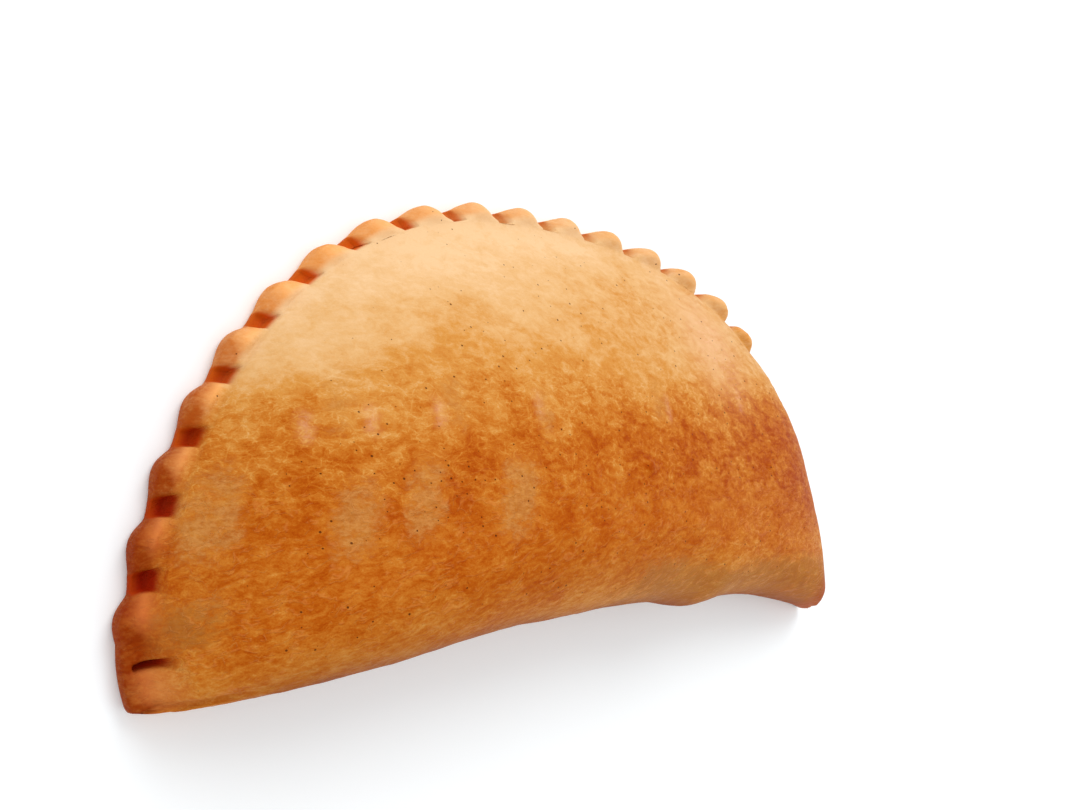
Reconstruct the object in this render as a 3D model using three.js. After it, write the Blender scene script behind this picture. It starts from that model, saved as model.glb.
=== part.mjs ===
// Baked turnover: one closed half-moon of pastry, folded along a straight-ish fold and
// crimped along its arc. It lies on its flat underside, the browned face up.
// Millimetres, +Z up. X runs along the fold, Y from the fold to the crown of the arc.
import * as THREE from 'three';

// ---- plan ----
const LEFT = 75.0;               // middle of the fold to its left tip
const RIGHT = 75.0;              // middle of the fold to its right tip
const DEPTH = 74.8;              // fold to the crown of the arc
const SHOULDER = 2.14;           // 2 is an ellipse, more is fuller at the shoulders
const DEPTH_LEAN = [-0.043, 0.057, 0.171]; // the arc is fuller to the right
const ARCH = 7.8;                // how far the fold bows in between the tips
const ARCH_LEAN = 0.34;          // the bow is deeper to the right
const FOLD_WAVES = [             // [x, width, height] of soft waves in the fold line
  [46, 7, 0.2],
  [24, 7, -1.5],
  [-23, 12, 0.6],
];
const TIP_SHARP = 80;            // how tightly the arc turns into the fold at a tip
const TIP_TUCK = [0.027, 11.5];  // the arc draws in again over the last stretch to the left tip

// ---- body ----
const HEIGHT = 31.1;             // highest point over the table
const HEIGHT_LEAN = -0.34;       // the left half is the fuller one
const HEIGHT_BOW = -0.02;
const DOME_IN = 2.6;             // how flat the face stays before it falls to the rim
const DOME_OUT = 1.74;           // how steep it falls to the tips
const DOME_FAR = 2.35;           // steeper to the right tip, where it hangs over the rim
const DOME_CROWN = 1.2;          // and to the crown of the arc, lower is gentler
const DOME_SIDE = 0.56;          // share of the rim's width left outside the dome at the tips
const DOME_SOFT = 0.13;          // hollow round where the dome runs out into the rim
const FOLD_ROUND = 0.48;         // radius of the rounded fold, in parts of the height
const FOLD_BELLY = 0.45;         // height of the fold's widest line, same parts
const FOLD_UNDER = 0.2;          // how far the fold is tucked under, same parts

// ---- rim ----
const RIM_WIDTH = 2.6;           // pressed border outside the filling
const RIM_LEAN = 0.07;          // the border is wider to the right
const RIM_INNER = 5.5;           // thickness where the rim meets the body
const TIP_WIDE = [2.4, 19];      // the border widens over the last stretch to the left tip
const PILLOW = 6.2;              // thickness of the pillows between the dents
const PILLOW_LOW = 0.66;         // their low end by the dent before, in parts of that
const PILLOW_FALL = 0.4;         // how far they round off to their outer edge, same parts
const PILLOW_FAR = 0.2;          // how much fuller they are right of the middle
const PILLOW_LAST = 1.8;         // and how much of that they lose again at the right end
const DENT_FLOOR = [2.3, 1.8];   // thickness left in a dent, at its inner and outer end
const DENTS = 22;                // finger dents round the arc
const DENT_FIRST = 5.4;          // arc length from the left tip to the first dent
const DENT_PITCH = 10.47;        // arc length from dent to dent
const DENT_LEAD = 0.05;          // where a dent starts before its place, in parts of the pitch
const DENT_WALL = 0.07;          // run of a dent's steep wall, same parts
const DENT_FLAT = 0.19;          // where its floor ends
const DENT_SLOPE = 0.1;          // run of its softer side
const SLIT_FLAT = 0.03;          // the first dent is pinched to a slit, same parts
const SLIT_SLOPE = 0.05;
const SLIT_END = [0.66, 0.16];   // and closed toward the outer edge, in parts of the border
const SCALLOP_IN = 0.55;         // how far the outline draws in at a dent
const SCALLOP_OUT = 1.5;         // how far a pillow bulges out from there
const TIP_BLEND = 4;             // length over which rim turns into fold at a tip

// ---- mesh ----
const DENT_STEPS = [0.02, 0.1, 0.19, 0.29, 0.42, 0.6, 0.78, 0.95];
const SLIT_STEPS = [-0.05, 0.02, 0.08, 0.18, 0.3, 0.42, 0.6, 0.78, 0.95];
const FOLD_STEPS = 40;
const FACE_RINGS = 10;
const RIM_ROWS = [0.16, 0.4, 0.68, 0.92];
const HUB = new THREE.Vector2(0, 32);   // the plan point all rings close on
const HUB_RADII = new THREE.Vector2(75, 38);
const HUB_OVAL = new THREE.Vector2(44, 12);

const TAU = Math.PI * 2;

const clamp = (v, lo, hi) => Math.min(hi, Math.max(lo, v));

const mix = (a, b, t) => a + (b - a) * t;

function ease(v) {
  const c = clamp(v, 0, 1);
  return c * c * (3 - 2 * c);
}

const along = (x) => x / (x < 0 ? LEFT : RIGHT);

function arcDepth(x) {
  const u = clamp(along(x), -1, 1);
  const [a, b, c] = DEPTH_LEAN;
  return DEPTH * (1 + a * u + b * u * u + c * u * u * u);
}

const rimWidth = (x) => RIM_WIDTH * (1 + RIM_LEAN * along(x));

function foldY(x) {
  const u = along(x);
  let y = ARCH * (1 - u * u) * (1 + ARCH_LEAN * u);
  for (const [centre, width, height] of FOLD_WAVES) {
    y += height * Math.exp(-(((x - centre) / width) ** 2));
  }
  return y;
}

// Height of the puffed face before the fold is rounded off.
function dome(x, y) {
  const side = (x < 0 ? LEFT : RIGHT) - rimWidth(x) * DOME_SIDE;
  const across = Math.max(y, 0) / (arcDepth(x) - rimWidth(x));
  const spread = Math.abs(x / side) ** SHOULDER + across ** SHOULDER;
  const end = mix(DOME_OUT, DOME_FAR, ease((x - 20) / 40));
  const steep = mix(end, DOME_CROWN, across ** SHOULDER / Math.max(spread, 1e-9));
  const reach = Math.min(spread ** (1 / SHOULDER), 1);
  const fall = (1 - reach ** DOME_IN) ** (1 / steep);
  const rise = (Math.hypot(fall, DOME_SOFT) - DOME_SOFT) / (Math.hypot(1, DOME_SOFT) - DOME_SOFT);
  const u = along(x);
  const crest = HEIGHT * (1 + HEIGHT_LEAN * u + HEIGHT_BOW * u * u);
  return RIM_INNER + (crest - RIM_INNER) * rise;
}

const foldHeight = (x) => dome(x, foldY(x));

// Height of the top skin over a plan point, the fold's round included.
function face(x, y) {
  const edge = foldHeight(x);
  const belly = FOLD_BELLY * edge;
  const d = clamp((y - foldY(x)) / (FOLD_ROUND * edge), 0, 1);
  return belly + (dome(x, y) - belly) * Math.sqrt(Math.max(1 - (1 - d) ** 2, 0));
}

function reachOf(inside) {
  let lo = 0;
  let hi = 150;
  for (let i = 0; i < 40; i += 1) {
    const mid = (lo + hi) / 2;
    if (inside(mid)) lo = mid;
    else hi = mid;
  }
  return lo;
}

// The closed outline as a table over arc length, from the left tip over the arc and back
// along the fold.
function traceOutline() {
  const start = Math.atan2(-HUB.y, -LEFT);
  const table = [];
  let length = 0;
  let tip = { reach: 0, at: 0 };
  for (let i = 0; i <= 3000; i += 1) {
    const angle = start - (TAU * i) / 3000;
    const ux = Math.cos(angle);
    const uy = Math.sin(angle);
    const arc = reachOf((r) => {
      const x = r * ux;
      const y = Math.max(HUB.y + r * uy, 0);
      const tuck = x < 0 ? TIP_TUCK[0] * Math.max(1 - y / TIP_TUCK[1], 0) ** 2 : 0;
      const u = along(x) / (1 - tuck);
      return Math.abs(u) ** SHOULDER + (y / arcDepth(x)) ** SHOULDER < 1;
    });
    const fold = reachOf((r) => {
      const x = clamp(r * ux, -1.3 * LEFT, 1.3 * RIGHT);
      return HUB.y + r * uy > foldY(x);
    });
    const near = Math.min(arc, fold);
    const r = near * ((arc / near) ** -TIP_SHARP + (fold / near) ** -TIP_SHARP) ** (-1 / TIP_SHARP);
    const point = new THREE.Vector2(r * ux, HUB.y + r * uy);
    if (i > 0) length += point.distanceTo(table[i - 1].point);
    table.push({ point, length });
    if (ux > 0 && uy < 0 && r > tip.reach) tip = { reach: r, at: length };
  }
  return { table, arcLength: tip.at, total: length };
}

const { table, arcLength, total } = traceOutline();

function outlineAt(s) {
  const target = ((s % total) + total) % total;
  let lo = 0;
  let hi = table.length - 1;
  while (hi - lo > 1) {
    const mid = (lo + hi) >> 1;
    if (table[mid].length <= target) lo = mid;
    else hi = mid;
  }
  const a = table[lo];
  const b = table[hi];
  const t = (target - a.length) / Math.max(b.length - a.length, 1e-9);
  return a.point.clone().lerp(b.point, t);
}

// Arc lengths of the mesh columns: denser at the walls of the dents.
function columnPositions() {
  const out = [0, DENT_FIRST * 0.3, DENT_FIRST * 0.6];
  for (let k = 0; k < DENTS; k += 1) {
    for (const step of k === 0 ? SLIT_STEPS : DENT_STEPS) {
      const s = DENT_FIRST + (k + step) * DENT_PITCH;
      if (s < arcLength - 1.2) out.push(s);
    }
  }
  for (let i = 0; i < FOLD_STEPS; i += 1) {
    out.push(arcLength + ((total - arcLength) * i) / FOLD_STEPS);
  }
  return out;
}

// How deep the rim is pressed at arc length s, 1 on a dent's floor and 0 on a pillow, and
// how far the pillow bulges out. Each pillow has a steep lip over the dent after it and
// runs out softly into the dent before it. The first dent is a closed slit.
function dentAt(s) {
  const phase = (s - DENT_FIRST) / DENT_PITCH;
  const k = Math.floor(phase + DENT_LEAD);
  const slit = k < 1 ? 1 : 0;
  if (k < 0 || k > DENTS - 1 || s > arcLength) return { dent: 0, bulge: k < 0 ? 0.5 : 0.35, slit };
  const t = phase - k;
  const wall = ease((t + DENT_LEAD) / DENT_WALL);
  const flat = slit ? SLIT_FLAT : DENT_FLAT;
  const dent = t > 0.5 ? 0 : wall * (1 - ease((t - flat) / (slit ? SLIT_SLOPE : DENT_SLOPE)));
  const bulge = Math.max(Math.sin(Math.PI * (((t + 1) % 1) ** 1.5)), 0) ** 1.3;
  return { dent, bulge: slit && t < 0.5 ? Math.max(bulge, 0.5) : bulge, slit };
}

function column(s) {
  const p = outlineAt(s);
  const tangent = outlineAt(s + 0.4).sub(outlineAt(s - 0.4)).normalize();
  const normal = new THREE.Vector2(-tangent.y, tangent.x);
  const inward = HUB.clone().sub(p);
  const reach = inward.length();
  inward.divideScalar(reach);
  const slant = Math.max(-inward.dot(normal), 0.5);
  const onArc = s <= arcLength;
  const rim = onArc ? 1 : Math.max(
    1 - ease((s - arcLength) / TIP_BLEND),
    1 - ease((total - s) / TIP_BLEND),
  );
  const { dent, bulge, slit } = dentAt(s);
  const far = PILLOW_FAR * (ease(p.x / 40) - PILLOW_LAST * ease((p.x - 52) / 12));
  const crown = bulge ** (1 - 2 * far);
  const edge = foldHeight(p.x);
  const border = rimWidth(p.x) + TIP_WIDE[0] * ease(1 - Math.min(s, total - s) / TIP_WIDE[1]);
  const width = mix(0.6 * FOLD_ROUND * edge, border, rim) / slant;
  const out = SCALLOP_OUT * (1 + far) * crown - SCALLOP_IN;
  const outer = p.clone().addScaledVector(normal, out * rim);
  const inner = p.clone().addScaledVector(inward, width);
  return { p, normal, rim, dent, crown, slit, far, edge, outer, inner };
}

const columns = columnPositions().map(column);
const rows = [];

// Face: rings that spread from a long ellipse round the hub to the rim's inner border.
for (let ring = 1; ring <= FACE_RINGS; ring += 1) {
  const v = Math.sin((ring / FACE_RINGS) * Math.PI * 0.5);
  rows.push(columns.map(({ inner }) => {
    const d = inner.clone().sub(HUB);
    const angle = Math.atan2(d.y / HUB_RADII.y, d.x / HUB_RADII.x);
    const oval = new THREE.Vector2(Math.cos(angle) * HUB_OVAL.x, Math.sin(angle) * HUB_OVAL.y);
    const q = oval.lerp(d, v * v).multiplyScalar(v).add(HUB);
    return new THREE.Vector3(q.x, q.y, face(q.x, q.y));
  }));
}

// Rim: pillows and dents on the arc, the rounded fold on the other side.
for (const f of RIM_ROWS) {
  rows.push(columns.map((c) => {
    const bent = mix(Math.sin(f * Math.PI * 0.5), f, c.rim);
    const q = c.inner.clone().lerp(c.outer, bent);
    const skin = face(q.x, q.y);
    const top = PILLOW * (1 + 0.5 * c.far) * mix(PILLOW_LOW, 1, c.crown);
    const pillow = mix(skin, top, ease(f * 1.7)) - PILLOW_FALL * (1 - 1.5 * c.far) * top * f ** 3;
    const floor = mix(DENT_FLOOR[0], DENT_FLOOR[1], f);
    const cut = c.dent * (1 - c.slit * ease((f - SLIT_END[0]) / SLIT_END[1]));
    const pressed = mix(pillow, Math.min(floor, pillow), cut);
    return new THREE.Vector3(q.x, q.y, mix(skin, pressed, c.rim));
  }));
}
const lip = rows[rows.length - 1];

// Edge and tuck: down round the outside and in under the body.
const EDGE_ROWS = [
  { fall: 0.62, draw: 0.0, sink: 0.98, tuck: 0.0 },
  { fall: 0.3, draw: 0.1, sink: 0.5, tuck: 0.16 },
  { fall: 0.0, draw: 0.8, sink: 0.0, tuck: 1.0 },
];
for (const { fall, draw, sink, tuck } of EDGE_ROWS) {
  rows.push(columns.map((c, i) => {
    const inset = mix(tuck * FOLD_UNDER * c.edge, draw, c.rim);
    const q = c.outer.clone().addScaledVector(c.normal, -inset);
    const z = mix(sink * FOLD_BELLY * c.edge, fall * lip[i].z, c.rim);
    return new THREE.Vector3(q.x, q.y, z);
  }));
}

function solid() {
  const n = columns.length;
  const points = [new THREE.Vector3(HUB.x, HUB.y, face(HUB.x, HUB.y))];
  rows.forEach((row) => points.push(...row));
  points.push(new THREE.Vector3(HUB.x, HUB.y, 0));
  const at = (row, i) => 1 + row * n + (i % n);
  const last = points.length - 1;
  const faces = [];
  for (let i = 0; i < n; i += 1) {
    faces.push(0, at(0, i + 1), at(0, i));
    for (let r = 0; r < rows.length - 1; r += 1) {
      faces.push(at(r, i), at(r, i + 1), at(r + 1, i));
      faces.push(at(r, i + 1), at(r + 1, i + 1), at(r + 1, i));
    }
    faces.push(at(rows.length - 1, i), at(rows.length - 1, i + 1), last);
  }
  const geometry = new THREE.BufferGeometry().setFromPoints(points);
  geometry.setIndex(faces);
  geometry.computeBoundingBox();
  const middle = geometry.boundingBox.getCenter(new THREE.Vector3());
  geometry.translate(-middle.x, -middle.y, -geometry.boundingBox.min.z);
  geometry.computeVertexNormals();
  return geometry;
}

const crust = new THREE.MeshStandardMaterial({
  color: 0xd9964e,
  roughness: 0.6,
  metalness: 0,
});
const turnover = new THREE.Mesh(solid(), crust);
turnover.name = 'turnover';

const group = new THREE.Group();
group.name = 'baked_turnover';
group.add(turnover);

export default group;
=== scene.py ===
"""Looks of one baked half-moon turnover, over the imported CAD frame. Sizes in mm, scene in m."""
import math
from types import SimpleNamespace

import bpy
import numpy as np
from mathutils import Euler, Matrix, Vector


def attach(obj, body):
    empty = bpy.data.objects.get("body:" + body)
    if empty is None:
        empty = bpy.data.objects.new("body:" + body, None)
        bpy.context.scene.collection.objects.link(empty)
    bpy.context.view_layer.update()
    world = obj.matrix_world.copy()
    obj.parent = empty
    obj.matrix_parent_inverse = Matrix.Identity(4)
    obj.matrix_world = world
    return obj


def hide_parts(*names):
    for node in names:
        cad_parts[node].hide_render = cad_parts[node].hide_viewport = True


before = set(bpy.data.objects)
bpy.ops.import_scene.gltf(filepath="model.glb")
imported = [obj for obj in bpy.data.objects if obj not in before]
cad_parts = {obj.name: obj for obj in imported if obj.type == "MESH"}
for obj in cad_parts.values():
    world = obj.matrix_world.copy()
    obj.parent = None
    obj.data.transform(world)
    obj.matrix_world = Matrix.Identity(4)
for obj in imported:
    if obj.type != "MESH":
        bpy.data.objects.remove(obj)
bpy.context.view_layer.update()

# ------------------------------------------------------------------ sizes of the form, mm
# Plan: X along the fold, Y from the fold's line to the arc. The same values make the solid.
LEFT, RIGHT, DEPTH = 75.0, 75.0, 74.8
SHOULDER = 2.14                       # the power of the half-moon's curve, where 2 is an ellipse
DEPTH_LEAN = (-0.043, 0.057, 0.171)   # fuller to the right: linear, square and cubic share
ARCH, ARCH_LEAN = 7.8, 0.34           # how far the fold bows in, and its lean to the right
FOLD_WAVES = ((46, 7, 0.2), (24, 7, -1.5), (-23, 12, 0.6))   # (x, half width, height)
TIP_SHARP = 80                        # how sharply arc and fold meet
BEYOND = 1.3                          # how far past the tips the fold's line is followed
TIP_TUCK = (0.027, 11.5)              # the left tip draws in by this share below this depth
ORIGIN = np.array([0.2019, 38.1854])  # the frame's origin in this plan

# Face: a dome, highest in its left half.
HEIGHT, HEIGHT_LEAN, HEIGHT_BOW = 31.1, -0.34, -0.02
DOME_IN = 2.6                         # flatness of its top
DOME_OUT, DOME_FAR, DOME_CROWN = 1.74, 2.35, 1.2   # steepness at its foot, on each side
DOME_FAR_X = (20, 60)                 # where the right end's steepness comes in
DOME_SIDE, DOME_SOFT = 0.56, 0.13     # share of the border left outside it, softness of its foot

# Fold, as shares of its height: the rounded edge, the belly and how far it turns under.
FOLD_ROUND, FOLD_BELLY, FOLD_UNDER = 0.48, 0.45, 0.2
FOLD_SPAN = 0.6                       # share of the rounded edge that the border's rings cover there

# Border: pillows between finger dents. The first dent is pinched to a slit.
RIM_WIDTH, RIM_LEAN, RIM_INNER = 2.6, 0.07, 5.5
RIM_SPAN = 0.92                       # share of the border's width before it turns down
TIP_WIDE = (2.4, 19.0)                # extra width, within this length of the left tip
TIP_BLEND = 4.0                       # length over which the border passes into the fold
PILLOW, PILLOW_LOW, PILLOW_FALL = 6.2, 0.66, 0.40    # height, share by a dent, outward fall
PILLOW_RISE = 1.7                     # how fast a pillow rises from the face
FULLER_TOP, FULLER_FALL, FULLER_BULGE = 0.5, 1.5, 2    # what the fullness does to each
PILLOW_FAR, PILLOW_FAR_X = 0.2, (0, 40)       # the pillows are fuller to the right
PILLOW_LAST, PILLOW_LAST_X = 1.8, (52, 64)    # but slimmer again at the right tip
BULGE_SKEW, BULGE_ROUND = 1.5, 1.3    # a pillow's outline, fullest past its middle
BULGE_TIP, BULGE_END = 0.5, 0.35      # bulge of the lobes at the left and right tip
SCALLOP_IN, SCALLOP_OUT = 0.55, 1.5   # the outline draws in at a dent, and bulges from there
DENTS, DENT_FIRST, DENT_PITCH = 22, 5.4, 10.47
DENT_FLOOR = (2.3, 1.8)               # height of a dent's floor, inner and outer
DENT_EDGE = 0.16                      # share of the border over which a dent drops in
DENT_LEAD, DENT_WALL = 0.05, 0.07     # in pitches: start of the steep wall, and its length
DENT_FLAT, DENT_SLOPE = 0.19, 0.10    # in pitches: end of the floor, and the softer side
SLIT_FLAT, SLIT_SLOPE = 0.03, 0.05    # the same for the slit
SLIT_END = (0.66, 0.16)               # share of the border that the slit reaches, its run-out

# The outer wall from the border's lip to the ground. For each ring: share of the lip's height
# and inset in mm, then share of the belly's height and share of the fold's turn under.
WALL_RINGS = ((0.84, 0.02, 0.995, 0.0), (0.62, 0.0, 0.9, 0.01), (0.44, 0.02, 0.7, 0.06),
              (0.28, 0.1, 0.45, 0.18), (0.13, 0.28, 0.22, 0.38), (0.04, 0.52, 0.07, 0.66),
              (0.0, 0.8, 0.0, 1.0))

# Mesh: rings of points round a hub.
HUB = np.array([0.0, 32.0])
HUB_RADII = (75.0, 38.0)
HUB_OVAL = (44.0, 12.0)               # the oval that the innermost rings follow
ARC_POINTS, FOLD_POINTS = 640, 240
FACE_RINGS, RIM_RINGS, BASE_RINGS = 64, 16, 5
TANGENT_STEP, LEAST_SLANT = 0.4, 0.5
SOFT_RINGS, SOFT_PASSES = 8, 40       # smoothing of the corner where the border ends
SOFT_ALONG, SOFT_ACROSS = (9, 5), (0.5, 21 / 22)

# ------------------------------------------------------------------ sizes of the relief, mm
LUMPS = ((0.28, (17, 13, 17), 3), (0.14, (7, 5, 7), 5))     # (height, size, seed)
FINE_LUMPS = ((0.045, 2.4, 7), (0.03, 1.2, 9))
LUMPS_ON_RIM = 0.4                    # share of the swells that the border keeps
BEND, BEND_SIZE, BEND_SEEDS = 1.2, 5, (21, 22, 23)
WRINKLE, WRINKLE_SIZE, WRINKLE_SEED = 0.09, (5.0, 2.2, 3.0), 11
WRINKLE_SHARP = 0.86                  # only the sharpest part of the noise's ridges counts
WRINKLE_GAPS, WRINKLE_GAPS_SEED, WRINKLE_MORE = 6, 12, 0.3
CREASE, CREASE_X = 0.16, (-38, -58)   # a faint groove between the face and the border
CREASE_IN, CREASE_OUT = (0, 0.06), (0.34, 0.08)
# Blisters on the face: (x, y, radius, height).
BLISTERS = ((0.7, -7.4, 1.1, 0.5), (42.6, -8.4, 0.9, 0.4), (-20.0, -3.0, 0.8, 0.22),
            (24.0, 4.0, 0.9, 0.2), (-46.0, -16.0, 0.8, 0.2), (12.0, -17.0, 1.0, 0.22))
BLISTERS_ABOVE = 8                    # all lie above this height

# ------------------------------------------------------------------ places of the bake, mm
# How brown the face is across its depth: (y, tone from 0 for straw to 1 for brown).
BAKE = ((-37, 0.74), (-31, 0.60), (-27, 0.60), (-20, 0.79), (-12, 0.79), (-4, 0.77),
        (3.5, 0.59), (11, 0.42), (19, 0.27), (26, 0.15), (34, 0.08))
BAKE_SWAY, BAKE_SLANT = 2.4, 0.08     # how far its levels wander, and sink to the right
BAKE_NOISE = ((0.06, 3.4, 35), (0.05, (9, 6, 9), 36))       # (amount, size, seed)
SLOW_SIZE, SLOW_SEED = (13, 9, 13), 31
STREAKS = ((1.0, 3.6, 33), (0.7, 1.9, 34))                  # (share, size, seed)
STREAK_TALL = 0.14                    # y is pressed flat, so the streaks run from arc to fold
STREAK_TONE, STREAK_Y, STREAK_HALF = 0.07, -4, 13
STREAK_LEAN, STREAK_X = (1.0, 0.4), (-10, 20)               # weaker to the right
# Paler by the border's left half, partly painted highlight, and painted light at the right tip where
# the edge turns from the light; darker low to the right.
RIM_PALE, RIM_PALE_ACROSS = 0.12, (0.84, 0.98)
RIM_PALE_X, RIM_PALE_Y = (20, -20), (-2, 12)
TIP_PALE, TIP_PALE_X = 0.13, (54, 70)
RIGHT_DARK, RIGHT_DARK_X, RIGHT_DARK_Y = 0.10, (26, 60), (10, -6)
# Paler swathes: (amount, x where it starts, x where it is full, middle y, half depth).
PALE_SWATHES = ((0.03, -26, -46, 9, 10), (0.07, -32, -18, 10, 7), (0.05, 16, 32, 10, 7))
DARK_SPOT = (0.07, 8, 15, 24, 8)      # (amount, x, half width, y, half depth)
# Clear patches where the browned film is missing: (x, y, half width, half height, strength).
CLEAR = ((-66, -12, 2.6, 6.5, 0.8), (-52, -13, 2.7, 5.4, 0.9), (-43.2, -11, 2.4, 5.4, 0.9),
         (-28.7, -11, 3.0, 5.4, 1.0), (-69.5, -25.5, 3.2, 3.6, 0.8), (-36, 2, 2.2, 5, 0.5),
         (-20, 1, 2.2, 4.5, 0.5), (8, 3, 2.6, 4, 0.5), (-50, 3, 2.4, 5, 0.5))
CLEAR_SLANT, CLEAR_RAGGED = 0.33, 0.5
# The film is also missing low on the fold, to the right.
LOW_CLEAR, LOW_CLEAR_Y, LOW_CLEAR_X = 0.9, (-20.5, -25.0), (-14, 8)
LOW_CLEAR_SWAY, LOW_CLEAR_SLANT = 1.5, 0.05
# Short pale strokes where the film was brushed off: (x, y).
STROKES = ((-54.8, -0.5), (-47.3, 0.1), (-38.0, 0.9), (-20.8, 2.1), (9.9, 2.0), (36, 4))
STROKE, STROKE_WIDE, STROKE_TALL, STROKE_SLANT = 0.55, 0.65, 2.2, 0.2
SHOULDER_SHEEN, SHOULDER_SHEEN_X, SHOULDER_SHEEN_Y, SHOULDER_SHEEN_SIZE = 0.8, 34, 15, 9    # painted sheen: a pale highlight on the right shoulder
# The top of the fold's toasted belly with painted shade under it, as a share of the fold's height,
# from left to right.
BELLY, BELLY_X = (0.74, 0.60), (-60, 30)
BELLY_FADE = (0.20, -0.14)            # from this much above it to this much below
BELLY_FROM_X, BELLY_FROM_Y = (-72, -54), (-24, -30)
# The border's toast with painted shade, darkest in the first part of each pitch, where the pillow
# turns from the light, and over the outer edge: LOW as shares of the pitch, IN and OUT as shares of
# the border, EDGE from the face to the left tip.
SHADE_TOAST_FULL, SHADE_TOAST_LOW = 0.95, (0.28, 0.70)
SHADE_TOAST_IN, SHADE_TOAST_OUT = (-0.15, 0.25), (0.35, 1.0)
SHADE_TOAST_EDGE, SHADE_TOAST_EDGE_X = (0.4, 0.85), (-50, -64)
RIM_LOOK = 1.6                        # how fast the border's own colour comes in

# ------------------------------------------------------------------ colours, sRGB
CRUST = ((0.0, "e9c090"), (0.22, "deac70"), (0.42, "d18f42"), (0.62, "c37222"),
         (0.82, "b4580a"), (1.0, "a44200"))
# pale pink of the brushed strokes, and of the painted sheen on the right shoulder
FLOUR_AND_SHEEN = "eebc98"
TAN_DARK, TAN_LIGHT, TAN_LOW, TAN_SHARE = "ae6e2e", "cf9450", "96560e", 0.76
# pale of the hairlines: painted highlight on the wrinkles' ridges
HAIRLINE_HIGHLIGHT, HAIRLINE_HIGHLIGHT_SHARE = "e0904c", 0.24
# toast with painted shade along the fold's belly
BELLY_TOAST_AND_SHADE = "8a4008"
TOASTED_FOOT, FOOT_SHARE = "a84a08", 0.85
# pillows: the pale tops are painted highlight, the browns are toast with painted shade
PILLOW_LIT_TOP, PILLOW_LIT_TOP_TIP = "f8b068", "d0743a"
PILLOW_SHADED_BROWN, PILLOW_SHADED_BURNT, PILLOW_SHADED_TIP = "e08a3c", "aa4206", "8a2c00"
# dents' floors: browning with painted shade in the hollows
DENT_SHADE_PALE, DENT_SHADE_WARM, DENT_SHADE_BURNT, DENT_SHADE_OUTER = "d89a5c", "d65a00", "961600", "bc500a"
SPECK, SPECK_SHARE = "4c1a04", 0.85

# Noises of the crust's pattern.
PATCH = dict(scale=0.36, detail=5.0, rough=0.62, stretch=(0.8, 1.15, 1.0))
CLOT = dict(scale=0.8, detail=2.0, rough=0.5, stretch=(0.75, 1.2, 1.0))
FINE = dict(scale=1.5, detail=4.0, rough=0.7, stretch=(0.75, 1.2, 1.0))
GRAIN = dict(scale=4.2, detail=3.0, rough=0.7)
FIBRE = dict(scale=1.1, detail=3.0, rough=0.6, stretch=(0.30, 1.5, 1.2))
CROWD = dict(scale=0.12, detail=1.0)  # where the specks crowd together
MOST = (0.3, 0.7)                     # the range in which a noise mostly lies
# How far each pattern makes the film lighter and darker.
FILM_SWELL, CLOT_SWELL, FINE_SWELL, GRAIN_SWELL, FIBRE_SWELL = 0.15, 0.55, 0.36, 0.36, 0.62
CRACK_PALE = 0.15
DRAWN_RIGHT, DRAWN_DOWN = 0.0036, 0.55    # the pattern is drawn out, as the dough was
WOBBLE, WOBBLE_SCALE = 3.0, 0.3
SLANT = -0.3                          # radians: lean of the fibres and hairlines
CRACKS = ((0.46, 0.055, 0.45, 40.96), (0.9, 0.09, 0.48, 44.1))    # (scale, width, gate, shift)
HAIRS = ((0.28, 0.030, 0.46), (0.5, 0.040, 0.50))                 # (scale, width, gate)
SPECK_SCALE, SPECK_RARITY, SPECK_SIZES = 0.62, 0.86, (0.05, 0.12)
SPECK_ROW_Y = -7.5                    # a loose row of specks along the face

ROUGHNESS, SHINE = (0.42, 0.58), 0.03
BUMP, BUMP_SIZE = 0.6, 0.0003         # strength, and its height in m
HAIR_HEIGHT, FINE_HEIGHT, SPECK_DEPTH = 0.4, 0.8, 0.6      # shares of that height

# Spans along X and Y, in mm, where a look passes from one state to the other.
BURNT_SHADE_X = (-70.0, -46.0)              # the dents are darker to the left, toast with painted shade
TIP_X = (-74.0, -60.0)                # and the pillows only at the tip
WARM_X = (-34.0, 4.0)
RIM_SHADE_TOAST_X = (-46.0, 20.0)
LOW_Y = (-8.0, -20.0)                 # fibres instead of clots, lower down
BOLD_X = (-5.0, 35.0)                 # the mottling is bolder to the right
NET_Y = ((-16.0, -6.0), (12.0, 3.0))  # the cracks' band, its lower and upper fade
HAIR_Y = ((-2.0, -14.0), (20.0, 8.0))
TAN_LOW_Y = (-17.0, -28.0)
FOOT_X, FOOT_Y = (61.0, 69.0), (-27.0, -32.0)

# ------------------------------------------------------------------ camera, floor and light
CAMERA_SPOT = (-148.667, 28.976, 167.662)       # mm, in the plan above
CAMERA_TURN = (5.445, -42.116, -3.077)          # degrees about X, then Y, then Z
SENSOR_WIDTH = 36.0
FOCAL_PIXELS, PHOTO_PIXELS = 1300.0, 1080.0     # focal length and width of the photograph
FLOOR_HALF, FLOOR_DROP = 3.0, 0.0002            # m
FLOOR_COLOUR, FLOOR_GLOW = (0.885, 0.925, 0.945, 1), 0.12
KEY_SPOT, KEY_AIM, KEY_SIZE, KEY_WATTS = (0.12, 0.70, 0.80), (0, 0, 0.02), 0.7, 4.5
SKY = 0.88


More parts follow.
